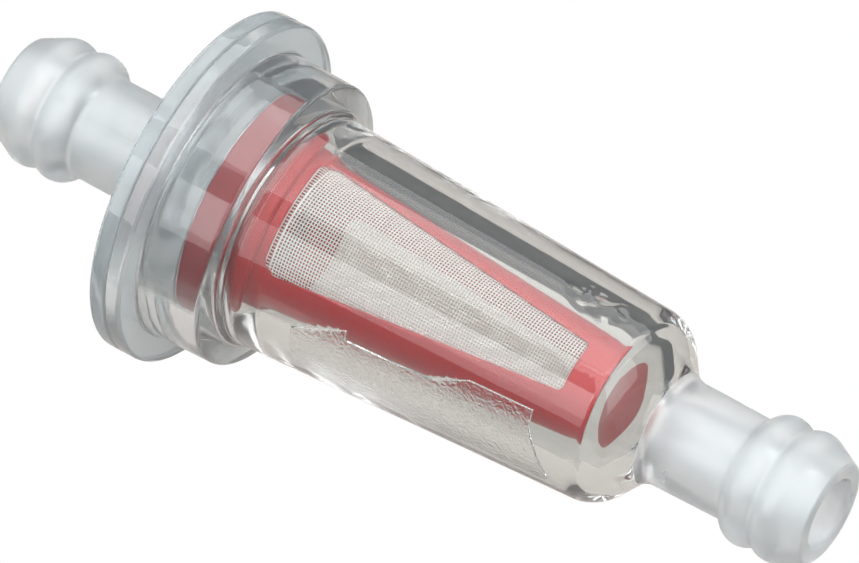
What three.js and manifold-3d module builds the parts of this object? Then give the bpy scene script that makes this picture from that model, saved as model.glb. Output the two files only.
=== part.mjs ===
// In-line fuel filter: a clear two-piece moulded housing welded at its flange, around a
// red moulded strainer cage with a woven nylon screen in its wall.
//
// Millimetres, +Z up. +X runs along the filter's axis in the direction of flow, and the
// origin lies on the axis, midway between the two hose tips. Outlines are drawn as
// [radius, station], where a station is a distance along the axis from the inlet tip.

import * as THREE from 'three';
import { mergeVertices } from 'three/addons/utils/BufferGeometryUtils.js';
import Module from 'manifold-3d';

const wasm = await Module();
wasm.setup();

// ---- Driving dimensions -------------------------------------------------------------

const LENGTH = 56.3; // hose tip to hose tip
const TURN_STEPS = 36; // facets round every turned shape
const ARC_STEP = THREE.MathUtils.degToRad(35); // longest step on a rounded corner
const RIDGE_STEPS = 2; // half the steps on one barb ridge

// Hose barb, the same at both ends, for 1/4 in fuel hose.
const BORE_R = 2.1;
const BORE_CHAMFER = 0.2;
const TIP_R = 3.13;
const TIP_ROUND = 0.22;
const RIDGE_R = 4.06;
const RIDGE_ROUND = 1.4;
const RIDGE_PITCH = 2.0;
const FIRST_RIDGE = 2.22; // from the tip
const NOSE_ANGLE = THREE.MathUtils.degToRad(25);
const NECK_R = 3.2;

// Flange, where the cap and the bowl are welded face to face.
const FLANGE_R = 10.86;
const FLANGE_START = 12.47;
const PARTING = 13.6;
const FLANGE_END = 14.6;
const FLANGE_ROUND = 0.25;
const WELD_CHAMFER = 0.12;

// Inlet cap: the fillet at the neck's root, and the spigot that clamps the cage's rim.
const ROOT_R = 4.35;
const SPIGOT_R = 7.0;
const SPIGOT_BORE_R = 5.9;
const SPIGOT_END = 16.35;

// Bowl: collar, tapered body, sloped shoulder and outlet neck.
const COLLAR_BASE_R = 9.1;
const COLLAR_END_R = 9.0;
const COLLAR_END = 18.8; // outer corner of its sloped end face
const FACE_END = 19.3; // where that face meets the body
const BODY_BASE_R = 7.26; // where the body leaves the collar
const BODY_DRAFT = 0.0512; // lost radius per length
const BODY_TURN = 43.2; // the body's side would meet the shoulder cone here
const SHOULDER_ROUND = 2.28;
const SHOULDER_ANGLE = THREE.MathUtils.degToRad(38.4); // from a flat end face
const OUTLET_NECK_R = 3.27; // at the shoulder
const NECK_ROUND = 1.4;

// Bowl, inside.
const COLLAR_BORE_R = 7.2;
const LEDGE = 18.4; // the cage's rim rests on this step
const HEAD_BORE_R = 6.04;
const HEAD_BORE_END = 19.5; // where it starts to taper into the body bore
const BODY_BORE_START = 21;
const BODY_BORE_R = 4.98; // at its start
const BODY_BORE_DRAFT = 0.031;
const FLOOR = 42.1; // where the bore ends in the sloped floor
const FLOOR_ANGLE = THREE.MathUtils.degToRad(36); // from a flat floor
const FLOOR_ROUND = 0.3;
const OUTLET_HOLE_R = 1.4; // in the floor; the passage widens from here to the tip

// Strainer cage, outside and inside.
const RIM_R = 7.0;
const RIM_START = 16.4;
const RIM_END = 18.35;
const RIM_BORE_R = 5.6;
const HEAD_R = 5.4;
const HEAD_END = 20.15;
const CAGE_START_R = 4.72; // where the basket leaves the head
const CAGE_END_R = 3.02;
const CAGE_END = 41.95;
const CAGE_WALL = 0.75;
const CAGE_CLOSED_END = 0.9; // thickness of the end disc

// Windows: two, opposite each other, narrowing towards the closed end.
const WINDOW_COUNT = 2;
const WINDOW_CLOCK = THREE.MathUtils.degToRad(22.3); // first window, from +Z towards -Y
const WINDOW_START = 20.7;
const WINDOW_END = 39.8;
const WINDOW_START_HALF = 3.35;
const WINDOW_END_HALF = 1.5;
const WINDOW_CORNER = 0.7;

// Woven nylon screen: one tapered sleeve, moulded into the cage's wall.
const SCREEN_THICK = 0.1;
const SCREEN_DEPTH = 0.2; // of its outer face, under the cage's outer face
const SCREEN_START = 20.25;
const SCREEN_END = 40.6;
const SCREEN_GAP = 0.04; // clearance to the wall that holds it

// ---- Materials ----------------------------------------------------------------------

const clearPlastic = () =>
  new THREE.MeshStandardMaterial({
    color: 0xe8eef0,
    roughness: 0.06,
    metalness: 0,
    transparent: true,
    opacity: 0.35,
  });
const redPlastic = () => new THREE.MeshStandardMaterial({ color: 0xb4202c, roughness: 0.35, metalness: 0 });
const wovenNylon = () => new THREE.MeshStandardMaterial({ color: 0xf1efea, roughness: 0.7, metalness: 0 });

// ---- Outline and solid helpers ------------------------------------------------------

// Points of an outline whose corners are [x, y, rounding]; a rounding is the radius of
// the arc that replaces the corner, and none leaves it sharp.
function rounded(corners, closed) {
  const points = [];
  corners.forEach(([x, y, rounding = 0], i) => {
    const corner = new THREE.Vector2(x, y);
    const isEnd = !closed && (i === 0 || i === corners.length - 1);
    if (rounding === 0 || isEnd) {
      points.push(corner);
      return;
    }
    const before = corners[(i + corners.length - 1) % corners.length];
    const after = corners[(i + 1) % corners.length];
    const back = new THREE.Vector2(before[0] - x, before[1] - y).normalize();
    const ahead = new THREE.Vector2(after[0] - x, after[1] - y).normalize();
    const halfAngle = Math.acos(back.dot(ahead)) / 2;
    const bisector = back.clone().add(ahead).normalize();
    const centre = corner.clone().addScaledVector(bisector, rounding / Math.sin(halfAngle));
    const trim = rounding / Math.tan(halfAngle);
    const start = corner.clone().addScaledVector(back, trim).sub(centre).angle();
    const end = corner.clone().addScaledVector(ahead, trim).sub(centre).angle();
    const sweep = THREE.MathUtils.euclideanModulo(end - start + Math.PI, 2 * Math.PI) - Math.PI;
    const steps = Math.max(2, Math.ceil(Math.abs(sweep) / ARC_STEP));
    for (let k = 0; k <= steps; k++) {
      const angle = start + (sweep * k) / steps;
      points.push(new THREE.Vector2(Math.cos(angle), Math.sin(angle)).multiplyScalar(rounding).add(centre));
    }
  });
  return points;
}

// A solid of revolution about the X axis from a closed outline of [radius, station].
function turned(outline) {
  const geometry = new THREE.LatheGeometry([...outline, outline[0]], TURN_STEPS);
  return geometry.rotateZ(-Math.PI / 2).translate(-LENGTH / 2, 0, 0);
}

// A geometry with only positions and shared vertices, as a closed manifold solid.
function solid(geometry) {
  const bare = geometry.clone();
  bare.deleteAttribute('normal');
  bare.deleteAttribute('uv');
  const welded = mergeVertices(bare, 1e-5);
  return new wasm.Manifold(
    new wasm.Mesh({
      numProp: 3,
      vertProperties: new Float32Array(welded.attributes.position.array),
      triVerts: new Uint32Array(welded.index.array),
    }),
  );
}

function toGeometry(manifold) {
  const { vertProperties, triVerts } = manifold.getMesh();
  const geometry = new THREE.BufferGeometry();
  geometry.setAttribute('position', new THREE.BufferAttribute(new Float32Array(vertProperties), 3));
  geometry.setIndex(new THREE.BufferAttribute(new Uint32Array(triVerts), 1));
  geometry.computeVertexNormals();
  return geometry;
}

function part(name, geometry, material) {
  const mesh = new THREE.Mesh(geometry, material);
  mesh.name = name;
  return mesh;
}

// ---- Hose barb ----------------------------------------------------------------------

// From the edge of the bore, over the tip and both ridges, to the neck. The second
// number of each point is its distance from the tip.
function barbOutline() {
  const centre = RIDGE_R - RIDGE_ROUND;
  const notch = Math.asin(RIDGE_PITCH / 2 / RIDGE_ROUND);
  const back = Math.acos((NECK_R - centre) / RIDGE_ROUND);
  const path = new THREE.Path();
  path.moveTo(BORE_R, BORE_CHAMFER);
  path.lineTo(BORE_R + BORE_CHAMFER, 0);
  path.lineTo(TIP_R - TIP_ROUND, 0);
  path.lineTo(TIP_R, TIP_ROUND / 2);
  path.absarc(centre, FIRST_RIDGE, RIDGE_ROUND, -NOSE_ANGLE, notch, false);
  path.absarc(centre, FIRST_RIDGE + RIDGE_PITCH, RIDGE_ROUND, -notch, back, false);
  return path.getPoints(RIDGE_STEPS);
}

// ---- Inlet cap ----------------------------------------------------------------------

function inletCap() {
  const rest = rounded([
    [NECK_R, FLANGE_START - (ROOT_R - NECK_R) - 0.01],
    [NECK_R, FLANGE_START, ROOT_R - NECK_R],
    [FLANGE_R, FLANGE_START, FLANGE_ROUND],
    [FLANGE_R, PARTING - WELD_CHAMFER],
    [FLANGE_R - WELD_CHAMFER, PARTING],
    [SPIGOT_R, PARTING],
    [SPIGOT_R, SPIGOT_END],
    [SPIGOT_BORE_R, SPIGOT_END],
    [SPIGOT_BORE_R, PARTING, 0.4],
    [BORE_R, PARTING],
  ]);
  return turned([...barbOutline(), ...rest]);
}

// ---- Bowl ---------------------------------------------------------------------------

function bowl() {
  const bodyR = (station) => BODY_BASE_R - BODY_DRAFT * (station - COLLAR_END);
  const boreR = (station) => BODY_BORE_R - BODY_BORE_DRAFT * (station - BODY_BORE_START);
  const floorEnd = FLOOR + (boreR(FLOOR) - OUTLET_HOLE_R) * Math.tan(FLOOR_ANGLE);
  const shoulderR = bodyR(BODY_TURN);
  const shoulderEnd = BODY_TURN + (shoulderR - OUTLET_NECK_R) * Math.tan(SHOULDER_ANGLE);
  const outside = rounded([
    [COLLAR_BORE_R, PARTING],
    [FLANGE_R - WELD_CHAMFER, PARTING],
    [FLANGE_R, PARTING + WELD_CHAMFER],
    [FLANGE_R, FLANGE_END, FLANGE_ROUND],
    [COLLAR_BASE_R, FLANGE_END, 0.2],
    [COLLAR_END_R, COLLAR_END, 0.3],
    [BODY_BASE_R, FACE_END, 0.7],
    [shoulderR, BODY_TURN, SHOULDER_ROUND],
    [OUTLET_NECK_R, shoulderEnd, NECK_ROUND],
    [NECK_R, LENGTH - barbLength()],
  ]);
  const outlet = barbOutline()
    .map(({ x, y }) => new THREE.Vector2(x, LENGTH - y))
    .reverse();
  const inside = rounded([
    [BORE_R, LENGTH - BORE_CHAMFER],
    [OUTLET_HOLE_R, floorEnd, 0.3],
    [boreR(FLOOR), FLOOR, FLOOR_ROUND],
    [BODY_BORE_R, BODY_BORE_START, 0.5],
    [HEAD_BORE_R, HEAD_BORE_END, 0.3],
    [HEAD_BORE_R, LEDGE, 0.2],
    [COLLAR_BORE_R, LEDGE, 0.3],
    [COLLAR_BORE_R, PARTING],
  ]);
  // The ends of neighbouring stretches coincide, so the repeats are dropped.
  return turned([...outside.slice(0, -1), ...outlet, ...inside.slice(1, -1)]);
}

function barbLength() {
  const back = Math.acos((NECK_R - (RIDGE_R - RIDGE_ROUND)) / RIDGE_ROUND);
  return FIRST_RIDGE + RIDGE_PITCH + RIDGE_ROUND * Math.sin(back);
}

// ---- Strainer cage and its screen ---------------------------------------------------

const cageR = (station) =>
  CAGE_START_R + ((CAGE_END_R - CAGE_START_R) * (station - HEAD_END)) / (CAGE_END - HEAD_END);

// A tapered sleeve that follows the cage's outer face, between two depths under it.
function sleeve(outerDepth, innerDepth, start, end) {
  return turned([
    new THREE.Vector2(cageR(start) - outerDepth, start),
    new THREE.Vector2(cageR(end) - outerDepth, end),
    new THREE.Vector2(cageR(end) - innerDepth, end),
    new THREE.Vector2(cageR(start) - innerDepth, start),
  ]);
}

function screen() {
  return sleeve(SCREEN_DEPTH, SCREEN_DEPTH + SCREEN_THICK, SCREEN_START, SCREEN_END);
}

// The cutter for one window: a rounded trapezium pushed out through the wall.
function windowCutter(index) {
  const corners = [
    [WINDOW_START, -WINDOW_START_HALF, WINDOW_CORNER],
    [WINDOW_END, -WINDOW_END_HALF, WINDOW_CORNER / 2],
    [WINDOW_END, WINDOW_END_HALF, WINDOW_CORNER / 2],
    [WINDOW_START, WINDOW_START_HALF, WINDOW_CORNER],
  ];
  const shape = new THREE.Shape(rounded(corners, true));
  const geometry = new THREE.ExtrudeGeometry(shape, { depth: RIM_R, bevelEnabled: false });
  geometry.translate(-LENGTH / 2, 0, 0);
  return solid(geometry.rotateX(WINDOW_CLOCK + (index * 2 * Math.PI) / WINDOW_COUNT));
}

function strainerCage() {
  const innerEnd = CAGE_END - CAGE_CLOSED_END;
  const body = turned(
    rounded(
      [
        [RIM_BORE_R, RIM_START, 0.2],
        [RIM_R, RIM_START, 0.15],
        [RIM_R, RIM_END, 0.15],
        [HEAD_R + 0.5, RIM_END],
        [HEAD_R, RIM_END + 0.7],
        [HEAD_R, HEAD_END, 0.2],
        [cageR(HEAD_END), HEAD_END],
        [CAGE_END_R, CAGE_END, 0.3],
        [0, CAGE_END],
        [0, innerEnd],
        [cageR(innerEnd) - CAGE_WALL, innerEnd],
        [cageR(HEAD_END) - CAGE_WALL, HEAD_END],
        [cageR(HEAD_END) - CAGE_WALL, RIM_END],
        [RIM_BORE_R, RIM_END - 0.9],
      ],
      true,
    ),
  );
  const slot = sleeve(
    SCREEN_DEPTH - SCREEN_GAP,
    SCREEN_DEPTH + SCREEN_THICK + SCREEN_GAP,
    SCREEN_START - SCREEN_GAP,
    SCREEN_END + SCREEN_GAP,
  );
  let cage = solid(body).subtract(solid(slot));
  for (let index = 0; index < WINDOW_COUNT; index++) {
    cage = cage.subtract(windowCutter(index));
  }
  return toGeometry(cage);
}

// ---- Assembly -----------------------------------------------------------------------

const filter = new THREE.Group();
filter.add(part('inlet_cap', inletCap(), clearPlastic()));
filter.add(part('bowl', bowl(), clearPlastic()));
filter.add(part('strainer_cage', strainerCage(), redPlastic()));
filter.add(part('screen_sleeve', screen(), wovenNylon()));

export default filter;
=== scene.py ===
"""A clear in-line fuel filter: welded housing, red strainer cage and woven nylon screen.

Lengths are in metres. The filter's axis is X, and a station is a distance along it from
the inlet tip. Outlines are lists of (station, radius, rounding).
"""

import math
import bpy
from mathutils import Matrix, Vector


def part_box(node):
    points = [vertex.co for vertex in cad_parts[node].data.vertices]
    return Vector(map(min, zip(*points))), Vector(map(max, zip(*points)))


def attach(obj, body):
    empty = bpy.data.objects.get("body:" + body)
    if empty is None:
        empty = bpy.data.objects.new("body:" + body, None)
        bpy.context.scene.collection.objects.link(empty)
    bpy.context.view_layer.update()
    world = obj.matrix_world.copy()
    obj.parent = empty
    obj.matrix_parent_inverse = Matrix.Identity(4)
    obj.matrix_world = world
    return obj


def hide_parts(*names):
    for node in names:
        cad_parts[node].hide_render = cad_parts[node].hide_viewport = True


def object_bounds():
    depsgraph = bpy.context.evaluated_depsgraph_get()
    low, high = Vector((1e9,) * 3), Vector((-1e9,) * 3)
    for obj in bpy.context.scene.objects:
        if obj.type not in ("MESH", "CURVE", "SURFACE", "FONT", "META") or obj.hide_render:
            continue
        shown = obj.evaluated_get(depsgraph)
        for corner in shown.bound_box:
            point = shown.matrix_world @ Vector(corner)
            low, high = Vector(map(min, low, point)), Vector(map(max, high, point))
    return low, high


bl_info = {
    "name": "Clear Fuel Filter",
    "version": (1, 0, 0),
    "blender": (4, 5, 0),
    "location": "View3D > Sidebar > Fuel Filter",
    "description": "Builds a clear in-line fuel filter around its packed frame",
    "category": "Mesh",
}

import bmesh
import bpy
from bpy.props import FloatProperty, FloatVectorProperty, PointerProperty
from mathutils import Matrix, Vector, noise

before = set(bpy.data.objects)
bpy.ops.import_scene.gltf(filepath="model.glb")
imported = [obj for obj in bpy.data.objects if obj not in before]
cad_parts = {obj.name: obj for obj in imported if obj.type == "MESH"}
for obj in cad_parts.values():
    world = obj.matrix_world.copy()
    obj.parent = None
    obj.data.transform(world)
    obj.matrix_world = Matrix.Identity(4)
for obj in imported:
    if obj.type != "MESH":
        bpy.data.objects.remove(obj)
CAD_BOX = [list(corner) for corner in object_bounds()]

MM = 0.001
ROOT = "root"
INLET_TIP = CAD_BOX[0][0]
LENGTH = CAD_BOX[1][0] - CAD_BOX[0][0]
FLANGE_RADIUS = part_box("inlet_cap")[1].z
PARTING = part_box("bowl")[0].x - INLET_TIP
CAGE_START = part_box("strainer_cage")[0].x - INLET_TIP
CAGE_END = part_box("strainer_cage")[1].x - INLET_TIP
RIM_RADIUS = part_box("strainer_cage")[1].z


# ---- Settings -----------------------------------------------------------------------


def length(name, description, default):
    """A length property; its default is given in millimetres."""
    return FloatProperty(
        name=name, description=description, default=default * MM, unit="LENGTH", precision=5
    )


def angle(name, description, default):
    """An angle property; its default is given in degrees."""
    return FloatProperty(
        name=name, description=description, default=math.radians(default), subtype="ANGLE"
    )


def number(name, description, default):
    """A plain number property."""
    return FloatProperty(name=name, description=description, default=default)


def colour(name, description, default):
    """An sRGB colour property with a hex default."""
    return FloatVectorProperty(
        name=name,
        description=description,
        default=srgb(default),
        subtype="COLOR_GAMMA",
        size=3,
        min=0,
        max=1,
    )


def srgb(hex_code):
    """The three sRGB parts, 0 to 1, of a hex colour."""
    return tuple(int(hex_code[i : i + 2], 16) / 255 for i in (0, 2, 4))


class BarbSettings(bpy.types.PropertyGroup):
    bore_radius: length("Bore radius", "Inside radius of both hose ends", 2.1)
    bore_chamfer: length("Bore chamfer", "Chamfer at the mouth of the bore", 0.2)
    tip_radius: length("Tip radius", "Radius where the nose cone starts", 3.13)
    tip_round: length("Tip rounding", "Rounding between the tip face and the nose", 0.25)
    ridge_radius: length("Ridge radius", "Radius over a barb ridge", 4.06)
    ridge_round: length("Ridge rounding", "Radius of a ridge's rounded back", 1.4)
    ridge_pitch: length("Ridge pitch", "Distance between the two ridges", 2.0)
    first_ridge: length("First ridge", "Distance of the first ridge from the tip", 2.22)
    neck_radius: length("Neck radius", "Radius of the neck behind the barb", 3.2)
    nose_angle: angle("Nose angle", "Slope of the nose cone", 25)


class CapSettings(bpy.types.PropertyGroup):
    flange_start: length("Disc back", "Station of the cap disc's back face", 12.47)
    root_round: length("Root fillet", "Fillet between the neck and the disc", 1.15)
    edge_round: length("Edge rounding", "Rounding of the disc's rim", 0.25)
    weld_chamfer: length("Weld groove", "Chamfer of both rims at the weld", 0.12)
    weld_gap: length("Weld gap", "Half of the fine gap left outside the weld", 0.01)
    spigot_radius: length("Spigot radius", "Outside radius of the spigot", 7.0)
    spigot_bore: length("Spigot bore", "Inside radius of the spigot", 5.9)
    spigot_end: length("Spigot end", "Station where the spigot ends", 16.35)


class BowlSettings(bpy.types.PropertyGroup):
    flange_end: length("Flange end", "Station of the flange's front face", 14.6)
    collar_base: length("Collar base radius", "Collar radius at the flange", 9.1)
    collar_top: length("Collar end radius", "Collar radius at its end", 9.0)
    collar_end: length("Collar end", "Station of the collar's outer corner", 18.8)
    face_end: length("Face end", "Station where the collar's sloped face meets the body", 19.3)
    face_round: length("Face fillet", "Fillet between the collar's face and the body", 0.7)
    body_base: length("Body base radius", "Body radius where it leaves the collar", 7.26)
    body_draft: number("Body draft", "Radius lost per length", 0.0512)
    body_turn: length("Body turn", "Station where side and shoulder would meet", 43.2)
    shoulder_round: length("Shoulder rounding", "Rounding of the shoulder's edge", 2.28)
    shoulder_angle: angle("Shoulder angle", "Slope of the shoulder", 38.4)
    grain_start: length("Grain start", "Station where the outlet's fine grain starts", 45.2)
    outlet_neck: length("Outlet neck radius", "Neck radius at the shoulder", 3.27)
    neck_round: length("Neck fillet", "Fillet between shoulder and neck", 1.4)
    collar_bore: length("Collar bore", "Inside radius of the collar", 7.2)
    ledge: length("Ledge", "Station of the step that holds the cage", 18.4)
    head_bore: length("Head bore", "Inside radius round the cage's head", 6.04)
    head_bore_end: length("Head bore end", "Station where the head bore starts to taper", 19.5)
    body_bore_start: length("Body bore start", "Station where the taper meets the body bore", 21.0)
    body_bore: length("Body bore", "Inside radius of the body at its start", 4.98)
    body_bore_draft: number("Bore draft", "Bore radius lost per length", 0.031)
    floor: length("Floor", "Station where the bore ends in the sloped floor", 42.1)
    floor_round: length("Floor rounding", "Rounding between the bore and the floor", 0.3)
    outlet_hole: length("Outlet hole", "Radius of the hole in the inside floor", 1.4)
    floor_angle: angle("Floor angle", "Slope of the inside floor", 36)


class CageSettings(bpy.types.PropertyGroup):
    rim_end: length("Rim end", "Station where the rim ring ends", 18.35)
    rim_bore: length("Rim bore", "Inside radius of the rim ring", 5.6)
    head_radius: length("Head radius", "Radius of the band under the rim", 5.4)
    head_end: length("Head end", "Station where the basket leaves the head", 20.15)
    start_radius: length("Basket start radius", "Basket radius at the head", 4.72)
    end_radius: length("Basket end radius", "Basket radius at the closed end", 3.02)
    wall: length("Wall", "Wall thickness of the basket", 0.75)
    closed_end: length("Closed end", "Thickness of the end disc", 0.9)
    window_start: length("Window start", "Station where the windows start", 20.7)
    window_end: length("Window end", "Station where the windows end", 39.8)
    window_start_half: length("Window start half width", "Half width at the head end", 3.35)
    window_end_half: length("Window end half width", "Half width at the closed end", 1.5)
    window_corner: length("Window corner", "Corner rounding at the head end", 0.7)
    window_clock: angle("Window clock", "First window's turn from +Z towards -Y", 22.3)
    plastic: colour("Cage colour", "Red of the moulded cage", "D21C26")
    # Painted shade: the rim colour is a deeper red than the basket's, painted for how the rim looks
    # inside the clear collar.
    rim_plastic: colour("Rim colour", "Deeper red of the solid rim", "980C14")


class ScreenSettings(bpy.types.PropertyGroup):
    pitch: length("Thread pitch", "Distance between threads", 0.19)
    thread: length("Thread thickness", "Diameter of a thread", 0.074)
    depth: length("Depth", "Depth of the screen under the cage's face", 0.2)
    margin: length("Margin", "How far the threads run into the wall", 0.35)
    nylon: colour("Screen colour", "Off-white of the nylon thread", "FFF5F0")


# The body's side is unrolled at this radius.
SIDE_RADIUS = 6.5 * MM
# Upper edge of the raised patch: (station in mm, turn from +Z towards -Y in degrees).
PATCH_EDGE = (
    (23.9, 78.3),
    (27.4, 65.8),
    (27.45, 71.0),
    (32.9, 69.9),
    (35.4, 60.0),
    (39.6, 58.9),
    (39.65, 70.0),
    (41.0, 98.0),
)


class PatchSettings(bpy.types.PropertyGroup):
    lift: length("Lift", "Height of the raised patch", 0.05)
    edge_width: length("Edge width", "Width of the patch's sloped edge", 0.08)
    lower_edge: angle("Lower edge", "Turn from +Z to the patch's lower edge", 106)
    gate_station: length("Gate station", "Station of the gate's vestige", 39.6)
    gate_clock: angle("Gate clock", "Turn from +Z to the gate's vestige", -12.7)
    gate_radius: length("Gate radius", "Radius of the gate's vestige", 1.4)
    gate_lift: length("Gate lift", "Height of the gate's vestige", 0.16)


class StageSettings(bpy.types.PropertyGroup):
    azimuth: angle("Azimuth", "Camera's turn round Z", 34.3)
    elevation: angle("Elevation", "Camera's height", 50.8)
    distance: length("Camera distance", "Camera to the filter's middle", 628)
    lens: number("Lens", "Focal length in millimetres", 457.5)
    aim_right: length("Aim right", "Aim to the right of the filter's middle", 0.567)
    aim_up: length("Aim up", "Aim above the filter's middle", 0.895)
    floor_drop: length("Floor drop", "Floor below the filter's lowest point", 60)
    floor_size: length("Floor size", "Width of the pale floor", 240)
    light_distance: length("Light distance", "Softboxes to the filter", 600)
    light_level: number("Light level", "Radiance of the long softboxes", 2.1)
    fill_level: number("Fill level", "Radiance of the end softbox", 2.5)
    key_level: number("Key level", "Radiance of the softbox above", 3.0)
    square_size: length("Square size", "Width of both square softboxes", 500)
    floor_tone: colour("Floor colour", "Pale grey of the floor", "A8A29D")
    room_tone: colour("Room colour", "Dim surroundings of the stage", "4E5052")


# ---- Mesh helpers -------------------------------------------------------------------

# Longest edge along an outline, longest step on its rounded corners, and steps round a turn.
LONGEST_EDGE = 0.3 * MM
ARC_STEP = math.radians(9)
HOUSING_STEPS = 160
CAGE_STEPS = 96
# Points closer than this are one point.
MERGE_DISTANCE = 0.001 * MM
# The body's wall is thicker than this, so farther out than the bore by this much is outside.
OUTSIDE_MARGIN = 0.5 * MM
# How far past the ends of a patch edge its cut runs.
CUT_MARGIN = 0.4 * MM
# How close to a cut a point still counts as on it.
CUT_TOLERANCE = 0.004 * MM
# The gate's vestige: size of its lumps, how short it counts along the axis, the share of its
# radius over which it fades out, and how far out and how finely the mesh is divided for it.
LUMP_SIZE = 0.75 * MM
GATE_STRETCH = 0.6
GATE_FADE = 0.5
GATE_REACH = 1.7
GATE_CUTS = 2
# Steps of the arc up to a barb's notch, and of the arc from the notch down to the neck.
NOSE_ARC_STEPS = 9
NECK_ARC_STEPS = 12


def arc_corner_trim(before, corner, after, rounding):
    """(length trimmed off each side, turning angle) of a corner rounded by an arc."""
    turn = (corner - before).angle(after - corner)
    return rounding * math.tan(turn / 2), turn


def draw_outline(bm, corners, closed, step=LONGEST_EDGE):
    """Adds a wire in the XZ plane through (station, radius, rounding) corners, rounded by bevels."""
    verts = [bm.verts.new((INLET_TIP + station, 0, radius)) for station, radius, *_ in corners]
    count = len(verts)
    spans = count if closed else count - 1
    for i in range(spans):
        bm.edges.new((verts[i], verts[(i + 1) % count]))
    places = [vert.co.copy() for vert in verts]
    for i, (_, _, *rounding) in enumerate(corners):
        if not rounding or (not closed and i in (0, count - 1)):
            continue
        trim, turn = arc_corner_trim(places[i - 1], places[i], places[(i + 1) % count], rounding[0])
        bmesh.ops.bevel(
            bm,
            geom=[verts[i]],
            offset=trim,
            offset_type="OFFSET",
            segments=max(2, math.ceil(turn / ARC_STEP)),
            profile=0.5,
            affect="VERTICES",
            material=-1,
        )
    for edge in list(bm.edges):
        cuts = math.ceil(edge.calc_length() / step) - 1
        if cuts > 0:
            bmesh.ops.subdivide_edges(bm, edges=[edge], cuts=cuts)


def turned(corners, steps, closed=True):
    """A closed solid of revolution about the X axis, as a new bmesh."""
    bm = bmesh.new()
    draw_outline(bm, corners, closed)
    bmesh.ops.spin(
        bm,
        geom=bm.verts[:] + bm.edges[:],
        cent=(0, 0, 0),
        axis=(1, 0, 0),
        angle=2 * math.pi,
        steps=steps,
        use_merge=True,
    )
    bmesh.ops.remove_doubles(bm, verts=bm.verts, dist=MERGE_DISTANCE)
    bmesh.ops.recalc_face_normals(bm, faces=bm.faces)
    return bm


def side_radius(bowl, station):
    """Radius of the body's tapered side at a station."""
    return bowl.body_base - bowl.body_draft * (station - bowl.face_end)


def unrolled(place):
    """(station, arc length round from +Z towards -Y) of a point on the body's side."""
    return Vector((place.x - INLET_TIP, math.atan2(-place.y, place.z) * SIDE_RADIUS))


def rolled(bowl, flat):
    """The point on the body's side at an unrolled (station, arc length)."""
    radius, clock = side_radius(bowl, flat.x), flat.y / SIDE_RADIUS
    return Vector((INLET_TIP + flat.x, -radius * math.sin(clock), radius * math.cos(clock)))


def depth_inside(point, outline):
    """How far inside a closed outline a point lies; negative outside it."""
    nearest = math.inf
    crossings = 0
    for start, end in zip(outline, outline[1:] + outline[:1]):
        span = end - start
        along = max(0, min(1, (point - start).dot(span) / span.length_squared))
        nearest = min(nearest, (start + span * along - point).length)
        if (start.y > point.y) != (end.y > point.y):
            crossings += point.x < start.x + span.x * (point.y - start.y) / span.y
    return nearest if crossings % 2 else -nearest


def is_outside(place, bowl):
    """Whether a point at the body's stations is on its outer side."""
    return place.yz.length > bowl.body_bore + OUTSIDE_MARGIN


def push_out(vert, rise):
    """Moves a vertex away from the axis."""
    vert.co.yz = vert.co.yz * (1 + rise / vert.co.yz.length)


def cut_side(bm, bowl, start, end):
    """Cuts the faces of the body's side along a straight unrolled line."""
    low = Vector((min(start.x, end.x) - CUT_MARGIN, min(start.y, end.y) - CUT_MARGIN))
    high = Vector((max(start.x, end.x) + CUT_MARGIN, max(start.y, end.y) + CUT_MARGIN))
    faces = []
    for face in bm.faces:
        middle = face.calc_center_median()
        flat = unrolled(middle)
        near = low.x < flat.x < high.x and low.y < flat.y < high.y
        if near and is_outside(middle, bowl):
            faces.append(face)
    edges = {edge for face in faces for edge in face.edges}
    verts = {vert for face in faces for vert in face.verts}
    first, last = rolled(bowl, start), rolled(bowl, end)
    outwards = rolled(bowl, (start + end) / 2)
    outwards.x = 0
    bmesh.ops.bisect_plane(
        bm,
        geom=faces + list(edges) + list(verts),
        dist=CUT_TOLERANCE / 2,
        plane_co=first,
        plane_no=(last - first).cross(outwards).normalized(),
    )


def raise_patch(bm, bowl, patch):
    """Cuts the frosted patch's outline into the body's side and lifts what lies inside it."""
    corners = [(station * MM, math.radians(turn)) for station, turn in PATCH_EDGE]
    corners += [(corners[-1][0], patch.lower_edge), (corners[0][0], patch.lower_edge)]
    outline = [Vector((station, clock * SIDE_RADIUS)) for station, clock in corners]
    for start, end in zip(outline, outline[1:] + outline[:1]):
        inwards = Vector((start.y - end.y, end.x - start.x)).normalized() * patch.edge_width
        cut_side(bm, bowl, start, end)
        cut_side(bm, bowl, start + inwards, end + inwards)
    depths = {}
    for vert in bm.verts:
        near = outline[0].x - MM < vert.co.x - INLET_TIP < outline[-2].x + MM
        if near and is_outside(vert.co, bowl):
            depths[vert] = depth_inside(unrolled(vert.co), outline)
    for vert, depth in depths.items():
        push_out(vert, patch.lift * max(0, min(1, depth / patch.edge_width)))
    for edge in bm.edges:
        ends = [depths.get(vert, -1) for vert in edge.verts]
        for level in (0, patch.edge_width):
            if all(abs(depth - level) < CUT_TOLERANCE for depth in ends):
                edge.smooth = False


def raise_gate(bm, bowl, patch):
    """Lifts the small lumpy vestige of the gate on the body's side."""
    centre = rolled(bowl, Vector((patch.gate_station, patch.gate_clock * SIDE_RADIUS)))
    reach = GATE_REACH * patch.gate_radius
    edges = [
        edge for edge in bm.edges if all((vert.co - centre).length < reach for vert in edge.verts)
    ]
    bmesh.ops.subdivide_edges(bm, edges=edges, cuts=GATE_CUTS, use_grid_fill=True)
    for vert in bm.verts:
        offset = vert.co - centre
        offset.x *= GATE_STRETCH
        away = offset.length / patch.gate_radius
        if away < 1:
            lump = 0.5 + noise.noise(vert.co / LUMP_SIZE)
            push_out(vert, patch.gate_lift * min(1, (1 - away) / GATE_FADE) * lump)


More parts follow.
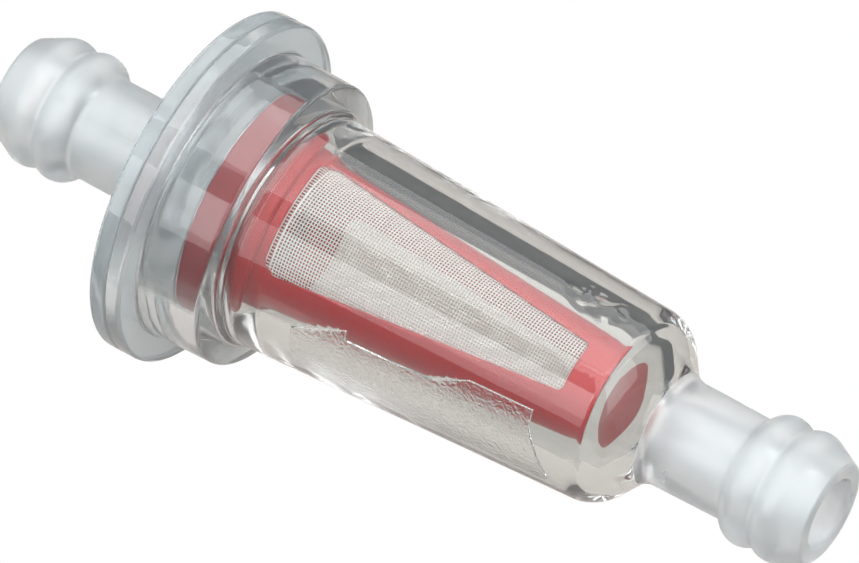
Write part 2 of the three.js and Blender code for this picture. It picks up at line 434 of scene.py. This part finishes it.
def add_object(name, data):
    """A new object in the scene."""
    made = bpy.data.objects.new(name, data)
    bpy.context.scene.collection.objects.link(made)
    return made


def add_piece(name, bm, materials, stands_for):
    """Turns a bmesh into a finished piece that rides on the frame."""
    mesh = bpy.data.meshes.new(name)
    bm.to_mesh(mesh)
    bm.free()
    mesh.shade_smooth()
    for material in materials:
        mesh.materials.append(material)
    piece = add_object(name, mesh)
    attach(piece, ROOT)
    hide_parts(stands_for)
    return piece


def arc(station, radius, rounding, start, end, steps):
    """Points of an arc round (station, radius), by turns from outwards towards the outlet."""
    points = []
    for k in range(steps + 1):
        turn = start + (end - start) * k / steps
        points.append((station + rounding * math.sin(turn), radius + rounding * math.cos(turn)))
    return points


def barb_outline(barb):
    """From the bore, over the tip and both ridges, to the neck, by distance from the tip."""
    centre = barb.ridge_radius - barb.ridge_round
    notch = math.asin(barb.ridge_pitch / 2 / barb.ridge_round)
    back = math.acos((barb.neck_radius - centre) / barb.ridge_round)
    second = barb.first_ridge + barb.ridge_pitch
    front = [
        (barb.bore_chamfer, barb.bore_radius),
        (0, barb.bore_radius + barb.bore_chamfer, 0.08 * MM),
        (0, barb.tip_radius, barb.tip_round),
    ]
    rounding = barb.ridge_round
    nose = -barb.nose_angle
    first_arc = arc(barb.first_ridge, centre, rounding, nose, notch, NOSE_ARC_STEPS)
    second_arc = arc(second, centre, rounding, -notch, back, NECK_ARC_STEPS)
    return front + first_arc + second_arc[1:]


# ---- Node helpers -------------------------------------------------------------------


def linear(values):
    """An sRGB colour, as a hex code or three parts, as linear RGBA."""
    parts = srgb(values) if isinstance(values, str) else values
    return tuple(c / 12.92 if c <= 0.04045 else ((c + 0.055) / 1.055) ** 2.4 for c in parts) + (1.0,)


def add_node(tree, kind, values=None, links=None, **settings):
    """Adds a node with its settings, its sockets' values and its incoming links."""
    made = tree.nodes.new(kind)
    for key, value in settings.items():
        setattr(made, key, value)
    for socket, value in (values or {}).items():
        made.inputs[socket].default_value = value
    for socket, source in (links or {}).items():
        tree.links.new(source, made.inputs[socket])
    return made


def new_material(name):
    """An empty node material and its tree."""
    material = bpy.data.materials.new(name)
    material.use_nodes = True
    material.node_tree.nodes.clear()
    return material, material.node_tree


def noise_value(tree, place, size, detail):
    """Noise from 0 to 1 with lumps of about one size."""
    values = {"Scale": 1 / size, "Detail": detail}
    return add_node(tree, "ShaderNodeTexNoise", values, {"Vector": place}).outputs["Fac"]


def clouded(tree, place, size, detail, least, most):
    """A value that drifts between two ends in soft clouds."""
    cloud = noise_value(tree, place, size, detail)
    values = {"To Min": least, "To Max": most}
    return add_node(tree, "ShaderNodeMapRange", values, {"Value": cloud}).outputs["Result"]


def bumped(tree, height, depth):
    """The normals of a surface raised by a height of 0 to 1 times the depth."""
    values = {"Strength": 1.0, "Distance": depth}
    return add_node(tree, "ShaderNodeBump", values, {"Height": height}).outputs["Normal"]


def end_in_shader(tree, values, links):
    """Ends a material in one shader."""
    shader = add_node(tree, "ShaderNodeBsdfPrincipled", values, links)
    add_node(tree, "ShaderNodeOutputMaterial", links={"Surface": shader.outputs["BSDF"]})


def math_node(tree, operation, first, second):
    """A math node on two sockets or numbers; returns its output."""
    made = add_node(tree, "ShaderNodeMath", operation=operation)
    for socket, value in enumerate((first, second)):
        if isinstance(value, (int, float)):
            made.inputs[socket].default_value = value
        else:
            tree.links.new(value, made.inputs[socket])
    return made.outputs["Value"]


def ramp_up(tree, value, start, end):
    """0 before start and 1 after end; start may be the larger one."""
    values = {"From Min": start, "From Max": end}
    return add_node(tree, "ShaderNodeMapRange", values, {"Value": value}).outputs["Result"]


# ---- Materials ----------------------------------------------------------------------

CLEAR_IOR = 1.5
NYLON_IOR = 1.53
# Polished clear plastic: tint, least and most roughness, share of light let through.
POLISHED_TINT = "F2F5F4"
POLISHED_ROUGHNESS = (0.01, 0.035)
POLISHED_TRANSMISSION = 0.97
# Size of the soft clouds in the roughness of clear plastic, and their detail.
CLOUD_SIZE = 2.5 * MM
CLOUD_DETAIL = 3.0
GRAIN_DETAIL = 2.0
# Roughness the frosted patch and the gate's vestige add.
FROST = 0.18
GATE_HAZE = 0.08
# Grain of the frosted patch, coarser than the real one so that it shows, and its depth as a
# share of the patch's lift.
FROST_GRAIN = 0.2 * MM
FROST_DEPTH = 1.2
# Width of the patch's ends in its finish, in millimetres.
PATCH_END_WIDTH = 0.1


def clear_finish(name, tint, roughness, transmission, grain_size, grain_depth, streaks=1.0):
    """Clear moulded plastic with clouded roughness, and a grain or rings of streaks."""
    material, tree = new_material(name)
    place = add_node(tree, "ShaderNodeTexCoord").outputs["Object"]
    stretched = add_node(
        tree, "ShaderNodeMapping", {"Scale": (streaks, 1, 1)}, {"Vector": place}
    ).outputs["Vector"]
    rough = clouded(tree, place, CLOUD_SIZE, CLOUD_DETAIL, *roughness)
    grain = noise_value(tree, stretched, grain_size, GRAIN_DETAIL)
    values = {"Base Color": linear(tint), "IOR": CLEAR_IOR, "Transmission Weight": transmission}
    end_in_shader(tree, values, {"Roughness": rough, "Normal": bumped(tree, grain, grain_depth)})
    return material


def polished_plastic(name):
    """Clear plastic straight from a polished mould, with a slight ripple."""
    return clear_finish(
        name,
        tint=POLISHED_TINT,
        roughness=POLISHED_ROUGHNESS,
        transmission=POLISHED_TRANSMISSION,
        grain_size=1.2 * MM,
        grain_depth=0.004 * MM,
    )


def rim_plastic(name):
    """Clear plastic of the thick flange: cooler, with faint haze and rings of flow streaks."""
    return clear_finish(
        name,
        tint="EFF9FC",
        roughness=(0.015, 0.05),
        transmission=0.78,
        grain_size=2.4 * MM,
        grain_depth=0.014 * MM,
        streaks=4.0,
    )


def collar_plastic(name):
    """Clear plastic of the collar: polished, with faint rings of flow streaks."""
    return clear_finish(
        name,
        tint="F8FBFD",
        roughness=(0.01, 0.05),
        transmission=0.96,
        grain_size=1.8 * MM,
        grain_depth=0.014 * MM,
        streaks=4.0,
    )


def grained_plastic(name):
    """Clear plastic from a fine spark-eroded mould face: frosted, with a fine grain.

    The grain is coarser than the real one, so that it shows.
    """
    return clear_finish(
        name,
        tint="F5FAFC",
        roughness=(0.25, 0.33),
        transmission=0.78,
        grain_size=0.16 * MM,
        grain_depth=0.005 * MM,
    )


def weld_face_plastic(name):
    """Frosted faces that meet at the weld."""
    return clear_finish(
        name,
        tint="F4F8FA",
        roughness=(0.12, 0.25),
        transmission=0.92,
        grain_size=0.6 * MM,
        grain_depth=0.004 * MM,
    )


def patch_mask(tree, station, clock, patch):
    """1 inside the raised frosted patch, under its stepped upper edge."""
    first, last = PATCH_EDGE[0][0], PATCH_EDGE[-1][0]
    along = ramp_up(tree, station, INLET_TIP + first * MM, INLET_TIP + last * MM)
    edge = add_node(tree, "ShaderNodeValToRGB", links={"Fac": along})
    stops = edge.color_ramp.elements
    while len(stops) < len(PATCH_EDGE):
        stops.new(1)
    for stop, (corner, turn) in zip(stops, PATCH_EDGE):
        stop.position = (corner - first) / (last - first)
        level = turn / 180
        stop.color = (level, level, level, 1)
    upper = math_node(tree, "MULTIPLY", edge.outputs["Color"], math.pi)
    ramp = patch.edge_width / SIDE_RADIUS
    below = ramp_up(tree, math_node(tree, "SUBTRACT", clock, upper), 0, ramp)
    above = ramp_up(tree, clock, patch.lower_edge, patch.lower_edge - ramp)
    ends = []
    for corner, width in ((first, PATCH_END_WIDTH), (last, -PATCH_END_WIDTH)):
        edge_at = INLET_TIP + corner * MM
        ends.append(ramp_up(tree, station, edge_at, INLET_TIP + (corner + width) * MM))
    inside = math_node(tree, "MINIMUM", below, ends[0])
    return math_node(tree, "MINIMUM", inside, math_node(tree, "MINIMUM", ends[1], above))


def gate_mask(tree, station, clock, patch):
    """1 at the middle of the gate's vestige, fading out at its edge."""
    off_station = math_node(tree, "SUBTRACT", station, INLET_TIP + patch.gate_station)
    off_clock = math_node(tree, "SUBTRACT", clock, patch.gate_clock)
    off_arc = math_node(tree, "MULTIPLY", off_clock, SIDE_RADIUS)
    squares = [math_node(tree, "MULTIPLY", off, off) for off in (off_station, off_arc)]
    away = math_node(tree, "SQRT", math_node(tree, "ADD", *squares), 0)
    return ramp_up(tree, away, patch.gate_radius, (1 - GATE_FADE) * patch.gate_radius)


def marked_plastic(name, patch):
    """Polished clear plastic with the raised frosted patch and the gate's vestige."""
    material, tree = new_material(name)
    place = add_node(tree, "ShaderNodeTexCoord").outputs["Object"]
    parts = add_node(tree, "ShaderNodeSeparateXYZ", links={"Vector": place}).outputs
    station = parts["X"]
    clock = math_node(tree, "ARCTAN2", math_node(tree, "MULTIPLY", parts["Y"], -1), parts["Z"])
    inside = patch_mask(tree, station, clock, patch)
    gate = gate_mask(tree, station, clock, patch)
    smooth = clouded(tree, place, CLOUD_SIZE, CLOUD_DETAIL, *POLISHED_ROUGHNESS)
    frosted = math_node(tree, "MULTIPLY", inside, FROST)
    hazed = math_node(tree, "MULTIPLY", gate, GATE_HAZE)
    rough = math_node(tree, "ADD", smooth, math_node(tree, "MAXIMUM", frosted, hazed))
    grain = noise_value(tree, place, FROST_GRAIN, GRAIN_DETAIL)
    height = math_node(tree, "MULTIPLY", inside, grain)
    values = {
        "Base Color": linear(POLISHED_TINT),
        "IOR": CLEAR_IOR,
        "Transmission Weight": POLISHED_TRANSMISSION,
    }
    normal = bumped(tree, height, FROST_DEPTH * patch.lift)
    end_in_shader(tree, values, {"Roughness": rough, "Normal": normal})
    return material


def red_nylon(name, cage):
    """Red moulded nylon: smooth, with painted shade at the rim, which is painted a deeper red than
    the basket for how it looks inside the clear collar.
    """
    material, tree = new_material(name)
    place = add_node(tree, "ShaderNodeTexCoord").outputs["Object"]
    rough = clouded(tree, place, 1.5 * MM, CLOUD_DETAIL, 0.28, 0.42)
    station = add_node(tree, "ShaderNodeSeparateXYZ", links={"Vector": place}).outputs["X"]
    # Painted shade: the rim's deeper red fades into the basket's red over one millimetre past the
    # rim's end.
    rim_end = INLET_TIP + cage.rim_end
    depth = add_node(
        tree, "ShaderNodeValToRGB", links={"Fac": ramp_up(tree, station, rim_end, rim_end + 1 * MM)}
    )
    depth.color_ramp.elements[0].color = linear(cage.rim_plastic)
    depth.color_ramp.elements[1].color = linear(cage.plastic)
    links = {"Base Color": depth.outputs["Color"], "Roughness": rough}
    end_in_shader(tree, {"IOR": NYLON_IOR}, links)
    return material


def nylon_thread(name, base):
    """Drawn nylon monofilament: off-white and satin."""
    material, tree = new_material(name)
    place = add_node(tree, "ShaderNodeTexCoord").outputs["Object"]
    rough = clouded(tree, place, 0.8 * MM, GRAIN_DETAIL, 0.4, 0.6)
    end_in_shader(tree, {"Base Color": linear(base), "IOR": NYLON_IOR}, {"Roughness": rough})
    return material


# ---- Operators: the pieces ----------------------------------------------------------

# How far from a border a face's middle still belongs to the finish before it.
FACE_SLACK = 0.05 * MM
WELD_SLACK = 0.02 * MM
# How far from the disc the inlet's grain stops, and from its end the collar's finish does.
GRAIN_STOP = 0.6 * MM
COLLAR_STOP = 0.2 * MM
# How far from the collar and from the shoulder the marked side starts and ends.
MARKED_START = 1 * MM
MARKED_END = 1.5 * MM


def finish_faces(bm, index, chosen):
    """Gives a material index to the faces whose middle is chosen."""
    for face in bm.faces:
        if chosen(face.calc_center_median()):
            face.material_index = index


class FILTER_OT_inlet_cap(bpy.types.Operator):
    """Make the clear inlet cap, with its barb, disc and spigot"""

    bl_idname = "fuel_filter.inlet_cap"
    bl_label = "Inlet Cap"

    def execute(self, context):
        barb = context.scene.filter_barb
        cap = context.scene.filter_cap
        outline = barb_outline(barb) + [
            (cap.flange_start, barb.neck_radius, cap.root_round),
            (cap.flange_start, FLANGE_RADIUS, cap.edge_round),
            (PARTING - cap.weld_chamfer, FLANGE_RADIUS, 0.05 * MM),
            (PARTING - cap.weld_gap, FLANGE_RADIUS - cap.weld_chamfer, 0.05 * MM),
            (PARTING - cap.weld_gap, cap.spigot_radius, 0.1 * MM),
            (cap.spigot_end, cap.spigot_radius, 0.12 * MM),
            (cap.spigot_end, cap.spigot_bore, 0.12 * MM),
            (PARTING, cap.spigot_bore, 0.4 * MM),
            (PARTING, barb.bore_radius, 0.3 * MM),
        ]
        bm = turned(outline, HOUSING_STEPS)
        finish_faces(bm, 1, lambda middle: middle.x < INLET_TIP + cap.flange_start - GRAIN_STOP)
        finish_faces(bm, 2, lambda middle: middle.x > INLET_TIP + PARTING - WELD_SLACK)
        materials = (
            rim_plastic("Clear plastic, thick cap"),
            grained_plastic("Clear plastic, grained inlet"),
            weld_face_plastic("Clear plastic, weld face of the cap"),
        )
        add_piece("inlet_cap_moulding", bm, materials, "inlet_cap")
        return {"FINISHED"}


def bowl_outline(barb, cap, bowl):
    """The bowl's whole outline, from the weld over the outside and back along the inside."""
    shoulder = bowl.body_base - bowl.body_draft * (bowl.body_turn - bowl.collar_end)
    shoulder_end = bowl.body_turn + (shoulder - bowl.outlet_neck) * math.tan(bowl.shoulder_angle)
    floor_bore = bowl.body_bore - bowl.body_bore_draft * (bowl.floor - bowl.body_bore_start)
    floor_end = bowl.floor + (floor_bore - bowl.outlet_hole) * math.tan(bowl.floor_angle)
    outside = [
        (PARTING + cap.weld_gap, bowl.collar_bore, 0.1 * MM),
        (PARTING + cap.weld_gap, FLANGE_RADIUS - cap.weld_chamfer, 0.05 * MM),
        (PARTING + cap.weld_chamfer, FLANGE_RADIUS, 0.05 * MM),
        (bowl.flange_end, FLANGE_RADIUS, cap.edge_round),
        (bowl.flange_end, bowl.collar_base, 0.2 * MM),
        (bowl.collar_end, bowl.collar_top, 0.3 * MM),
        (bowl.face_end, bowl.body_base, bowl.face_round),
        (bowl.body_turn, shoulder, bowl.shoulder_round),
        (shoulder_end, bowl.outlet_neck, bowl.neck_round),
    ]
    outlet = [(LENGTH - point[0], *point[1:]) for point in reversed(barb_outline(barb))]
    inside = [
        (floor_end, bowl.outlet_hole, 0.3 * MM),
        (bowl.floor, floor_bore, bowl.floor_round),
        (bowl.body_bore_start, bowl.body_bore, 0.5 * MM),
        (bowl.head_bore_end, bowl.head_bore, 0.3 * MM),
        (bowl.ledge, bowl.head_bore, 0.2 * MM),
        (bowl.ledge, bowl.collar_bore, 0.3 * MM),
    ]
    return outside + outlet + inside


class FILTER_OT_bowl(bpy.types.Operator):
    """Make the clear bowl, with its flange, collar, body, shoulder and outlet barb"""

    bl_idname = "fuel_filter.bowl"
    bl_label = "Bowl"

    def execute(self, context):
        barb = context.scene.filter_barb
        cap = context.scene.filter_cap
        bowl = context.scene.filter_bowl
        bm = turned(bowl_outline(barb, cap, bowl), HOUSING_STEPS)
        patch = context.scene.filter_patch
        raise_patch(bm, bowl, patch)
        raise_gate(bm, bowl, patch)
        collar = INLET_TIP + bowl.collar_end - COLLAR_STOP
        finish_faces(bm, 1, lambda middle: middle.x > INLET_TIP + bowl.grain_start)
        bore = bowl.collar_bore + FACE_SLACK
        finish_faces(bm, 5, lambda middle: middle.x < collar and middle.yz.length > bore)
        finish_faces(bm, 2, lambda middle: middle.yz.length > bowl.collar_base + FACE_SLACK)
        finish_faces(bm, 3, lambda middle: middle.x < INLET_TIP + PARTING + WELD_SLACK)
        start = INLET_TIP + bowl.face_end + MARKED_START
        end = INLET_TIP + bowl.body_turn - MARKED_END
        finish_faces(bm, 4, lambda middle: start < middle.x < end and is_outside(middle, bowl))
        materials = (
            polished_plastic("Clear plastic, polished bowl"),
            grained_plastic("Clear plastic, grained outlet"),
            rim_plastic("Clear plastic, thick flange"),
            weld_face_plastic("Clear plastic, weld face of the bowl"),
            marked_plastic("Clear plastic, marked side", patch),
            collar_plastic("Clear plastic, collar"),
        )
        add_piece("bowl_moulding", bm, materials, "bowl")
        return {"FINISHED"}


def cage_radius(cage, station):
    """Outside radius of the basket at a station."""
    along = (station - cage.head_end) / (CAGE_END - cage.head_end)
    return cage.start_radius + (cage.end_radius - cage.start_radius) * along


def window_cutter(cage, index):
    """A rounded trapezium pushed out through the wall, as an object to cut with."""
    bm = bmesh.new()
    corners = [
        (cage.window_start, -cage.window_start_half, cage.window_corner),
        (cage.window_end, -cage.window_end_half, cage.window_corner / 2),
        (cage.window_end, cage.window_end_half, cage.window_corner / 2),
        (cage.window_start, cage.window_start_half, cage.window_corner),
    ]
    draw_outline(bm, corners, True, step=1)
    bmesh.ops.rotate(bm, verts=bm.verts, cent=(0, 0, 0), matrix=Matrix.Rotation(math.pi / 2, 3, "X"))
    bmesh.ops.edgeloop_fill(bm, edges=bm.edges)
    grown = bmesh.ops.extrude_face_region(bm, geom=bm.faces[:])
    lifted = [item for item in grown["geom"] if isinstance(item, bmesh.types.BMVert)]
    bmesh.ops.translate(bm, verts=lifted, vec=(0, 0, RIM_RADIUS))
    turn = Matrix.Rotation(cage.window_clock + index * math.pi, 3, "X")
    bmesh.ops.rotate(bm, verts=bm.verts, cent=(0, 0, 0), matrix=turn)
    bmesh.ops.recalc_face_normals(bm, faces=bm.faces)
    mesh = bpy.data.meshes.new("window cutter")
    bm.to_mesh(mesh)
    bm.free()
    return add_object("window cutter", mesh)


def evaluated_mesh(source):
    """A new mesh of an object as its modifiers or its curve make it."""
    depsgraph = bpy.context.evaluated_depsgraph_get()
    return bpy.data.meshes.new_from_object(source.evaluated_get(depsgraph))


def cut_windows(piece, cage):
    """Cuts both windows out of the basket and applies the cuts to its mesh."""
    for index in range(2):
        cutter = window_cutter(cage, index)
        cut = piece.modifiers.new("window", "BOOLEAN")
        cut.operation = "DIFFERENCE"
        cut.object = cutter
        cut.solver = "EXACT"
        cut_mesh = evaluated_mesh(piece)
        piece.modifiers.clear()
        piece.data = cut_mesh
        bpy.data.objects.remove(cutter)


class FILTER_OT_strainer_cage(bpy.types.Operator):
    """Make the red strainer cage, with its rim, head, two windows and closed end"""

    bl_idname = "fuel_filter.strainer_cage"
    bl_label = "Strainer Cage"

    def execute(self, context):
        cage = context.scene.filter_cage
        inner_end = CAGE_END - cage.closed_end
        outline = [
            (CAGE_START, cage.rim_bore, 0.2 * MM),
            (CAGE_START, RIM_RADIUS, 0.15 * MM),
            (cage.rim_end, RIM_RADIUS, 0.15 * MM),
            (cage.rim_end, cage.head_radius + 0.5 * MM, 0.1 * MM),
            (cage.rim_end + 0.7 * MM, cage.head_radius, 0.3 * MM),
            (cage.head_end, cage.head_radius, 0.2 * MM),
            (cage.head_end, cage_radius(cage, cage.head_end), 0.1 * MM),
            (CAGE_END, cage.end_radius, 0.3 * MM),
            (CAGE_END, 0),
            (inner_end, 0),
            (inner_end, cage_radius(cage, inner_end) - cage.wall, 0.3 * MM),
            (cage.head_end, cage_radius(cage, cage.head_end) - cage.wall, 0.2 * MM),
            (cage.rim_end, cage_radius(cage, cage.head_end) - cage.wall, 0.3 * MM),
            (cage.rim_end - 0.9 * MM, cage.rim_bore, 0.3 * MM),
        ]
        bm = turned(outline, CAGE_STEPS)
        red = red_nylon("Red nylon, moulded", cage)
        piece = add_piece("strainer_cage_moulding", bm, (red,), "strainer_cage")
        cut_windows(piece, cage)
        return {"FINISHED"}


class FILTER_OT_screen(bpy.types.Operator):
    """Weave the nylon screen in both windows"""

    bl_idname = "fuel_filter.screen"
    bl_label = "Woven Screen"

    def execute(self, context):
        cage = context.scene.filter_cage
        screen = context.scene.filter_screen
        threads = bpy.data.curves.new("screen threads", "CURVE")
        threads.dimensions = "3D"
        threads.bevel_depth = screen.thread / 2
        threads.bevel_resolution = 0
        threads.use_fill_caps = True
        for index in range(2):
            weave_window(threads, cage, screen, cage.window_clock + index * math.pi)
        source = add_object("screen threads", threads)
        bm = bmesh.new()
        bm.from_mesh(evaluated_mesh(source))
        bpy.data.objects.remove(source)
        bmesh.ops.recalc_face_normals(bm, faces=bm.faces)
        nylon = nylon_thread("Nylon monofilament, woven", screen.nylon)
        add_piece("screen_weave", bm, (nylon,), "screen_sleeve")
        return {"FINISHED"}


def weave_window(curve, cage, screen, clock):
    """Adds a plain weave that fills one window and runs a little way into the wall round it."""
    margin = screen.margin
    lift = screen.thread / 2
    start = cage.window_start - margin
    rows = round((cage.window_end + margin - start) / screen.pitch)
    stations = [start + screen.pitch * row for row in range(rows + 1)]

    def half_count(station):
        along = (station - cage.window_start) / (cage.window_end - cage.window_start)
        narrowing = (cage.window_end_half - cage.window_start_half) * along
        half = cage.window_start_half + narrowing + margin
        radius = cage_radius(cage, station) - screen.depth
        return int(radius * math.asin(min(0.98, half / radius)) / screen.pitch)

    def crossing(row, column, side):
        station = stations[row]
        radius = cage_radius(cage, station) - screen.depth
        over = side if (row + column) % 2 else -side
        angle = clock + column * screen.pitch / radius
        reach = radius + over * lift / 2
        return (INLET_TIP + station, -reach * math.sin(angle), reach * math.cos(angle))

    counts = [half_count(station) for station in stations]
    for row in range(len(stations)):
        columns = range(-counts[row], counts[row] + 1)
        add_thread(curve, [crossing(row, column, 1) for column in columns])
    for column in range(-counts[0], counts[0] + 1):
        reach = [row for row in range(len(stations)) if abs(column) <= counts[row]]
        add_thread(curve, [crossing(row, column, -1) for row in reach])


def add_thread(curve, points):
    """Adds one thread through its crossings."""
    if len(points) < 2:
        return
    spline = curve.splines.new("POLY")
    spline.points.add(len(points) - 1)
    for point, place in zip(spline.points, points):
        point.co = (*place, 1)


# ---- Operator: the stage ------------------------------------------------------------

# The long softboxes: name, middle and spread as turns in degrees round the filter's axis
# from the camera's side, then centre and length along X in light distances.
LONG_SOFTBOXES = (
    ("back softbox", 58, 74, -0.3, 2.0),
    ("front softbox", -24, 38, -0.5, 1.4),
)
# Where the square softboxes stand.
END_DIRECTION = Vector((1, -0.1, 0.75)).normalized()
KEY_DIRECTION = Vector((0.15, -0.45, 1)).normalized()
# Clear walls behind clear walls need this many bounces.
CLEAR_BOUNCES = 40
GLOSSY_BOUNCES = 12


def axis_frame(stage):
    """The direction to the camera, its part across the filter's axis, and sideways to that."""
    back = Vector(
        (
            math.sin(stage.azimuth) * math.cos(stage.elevation),
            -math.cos(stage.azimuth) * math.cos(stage.elevation),
            math.sin(stage.elevation),
        )
    )
    towards = Vector((0, back.y, back.z)).normalized()
    return back, towards, Vector((0, towards.z, -towards.y))


def add_long_softbox(name, stage, middle, spread, along, reach):
    """A rectangular softbox beside the axis."""
    _, towards, sideways = axis_frame(stage)
    distance = stage.light_distance
    direction = towards * math.cos(middle) + sideways * math.sin(middle)
    light = bpy.data.lights.new(name, "AREA")
    light.shape = "RECTANGLE"
    light.size = reach
    light.size_y = 2 * distance * math.tan(spread / 2)
    light.energy = stage.light_level * math.pi * light.size * light.size_y
    box = add_object(name, light)
    box.location = direction * distance + Vector((along, 0, 0))
    across = direction.cross(Vector((1, 0, 0))).normalized()
    box.rotation_euler = Matrix((Vector((1, 0, 0)), across, direction)).transposed().to_euler()
    box.visible_camera = False


class FILTER_OT_stage(bpy.types.Operator):
    """Make the pale floor, the softboxes, the dim surroundings and the camera"""

    bl_idname = "fuel_filter.stage"
    bl_label = "Stage"

    def execute(self, context):
        scene = context.scene
        stage = scene.filter_stage
        back = axis_frame(stage)[0]
        scene.view_settings.view_transform = "Standard"
        scene.cycles.max_bounces = CLEAR_BOUNCES
        scene.cycles.transmission_bounces = CLEAR_BOUNCES
        scene.cycles.glossy_bounces = GLOSSY_BOUNCES
        self.add_floor(stage)
        self.add_world(scene, stage)
        distance = stage.light_distance
        for name, middle, spread, along, reach in LONG_SOFTBOXES:
            turns = (math.radians(middle), math.radians(spread))
            add_long_softbox(name, stage, *turns, along * distance, reach * distance)
        self.add_square("end softbox", stage, END_DIRECTION, stage.fill_level)
        key = self.add_square("key softbox", stage, KEY_DIRECTION, stage.key_level)
        key.visible_glossy = False
        self.add_camera(scene, stage, back)
        return {"FINISHED"}

    def add_camera(self, scene, stage, back):
        """The camera, looking past the origin from the side that back points to."""
        camera = bpy.data.cameras.new("camera")
        camera.lens = stage.lens
        camera.clip_end = 10
        holder = add_object("camera", camera)
        right = Vector((math.cos(stage.azimuth), math.sin(stage.azimuth), 0))
        target = right * stage.aim_right + back.cross(right) * stage.aim_up
        holder.location = target + back * stage.distance
        holder.rotation_euler = (-back).to_track_quat("-Z", "Y").to_euler()
        scene.camera = holder

    def add_square(self, name, stage, direction, level):
        """A square softbox facing the origin from one direction."""
        light = bpy.data.lights.new(name, "AREA")
        light.size = stage.square_size
        light.energy = level * math.pi * light.size**2
        box = add_object(name, light)
        box.location = direction * stage.light_distance
        box.rotation_euler = direction.to_track_quat("Z", "Y").to_euler()
        box.visible_camera = False
        return box

    def add_floor(self, stage):
        """The pale floor, which shows only through the clear plastic and in its gloss."""
        bm = bmesh.new()
        bmesh.ops.create_grid(bm, x_segments=8, y_segments=8, size=stage.floor_size / 2)
        bottom = CAD_BOX[0][2] - stage.floor_drop
        bmesh.ops.translate(bm, verts=bm.verts, vec=(0, 0, bottom))
        mesh = bpy.data.meshes.new("floor")
        bm.to_mesh(mesh)
        bm.free()
        material, tree = new_material("Pale grey sweep")
        end_in_shader(tree, {"Base Color": linear(stage.floor_tone), "Roughness": 0.8}, None)
        mesh.materials.append(material)
        floor = add_object("floor", mesh)
        floor.visible_camera = False

    def add_world(self, scene, stage):
        """White behind the filter, and dim surroundings for what it reflects."""
        world = bpy.data.worlds.new("studio")
        world.use_nodes = True
        tree = world.node_tree
        tree.nodes.clear()
        room, white = [
            add_node(tree, "ShaderNodeBackground", {"Color": tone, "Strength": 1.0})
            for tone in (linear(stage.room_tone), linear("FFFFFF"))
        ]
        seen = add_node(tree, "ShaderNodeLightPath").outputs["Is Camera Ray"]
        links = {0: seen, 1: room.outputs["Background"], 2: white.outputs["Background"]}
        mix = add_node(tree, "ShaderNodeMixShader", links=links)
        add_node(tree, "ShaderNodeOutputWorld", links={"Surface": mix.outputs["Shader"]})
        scene.world = world


class FILTER_PT_panel(bpy.types.Panel):
    """Lists the filter's pieces in the sidebar"""

    bl_label = "Fuel Filter"
    bl_idname = "FILTER_PT_panel"
    bl_space_type = "VIEW_3D"
    bl_region_type = "UI"
    bl_category = "Fuel Filter"

    def draw(self, context):
        for operator in OPERATORS:
            self.layout.operator(operator.bl_idname)
        for group in GROUPS:
            box = self.layout.box()
            settings = getattr(context.scene, group)
            for name in settings.__annotations__:
                box.prop(settings, name)


GROUPS = {
    "filter_barb": BarbSettings,
    "filter_cap": CapSettings,
    "filter_bowl": BowlSettings,
    "filter_cage": CageSettings,
    "filter_screen": ScreenSettings,
    "filter_patch": PatchSettings,
    "filter_stage": StageSettings,
}
OPERATORS = (
    FILTER_OT_inlet_cap,
    FILTER_OT_bowl,
    FILTER_OT_strainer_cage,
    FILTER_OT_screen,
    FILTER_OT_stage,
)


def register():
    for name, group in GROUPS.items():
        bpy.utils.register_class(group)
        setattr(bpy.types.Scene, name, PointerProperty(type=group))
    for item in OPERATORS + (FILTER_PT_panel,):
        bpy.utils.register_class(item)


def unregister():
    for item in (FILTER_PT_panel,) + OPERATORS[::-1]:
        bpy.utils.unregister_class(item)
    for name, group in GROUPS.items():
        delattr(bpy.types.Scene, name)
        bpy.utils.unregister_class(group)


def main():
    register()
    bpy.ops.fuel_filter.inlet_cap()
    bpy.ops.fuel_filter.bowl()
    bpy.ops.fuel_filter.strainer_cage()
    bpy.ops.fuel_filter.screen()
    bpy.ops.fuel_filter.stage()


if __name__ == "__main__":
    main()
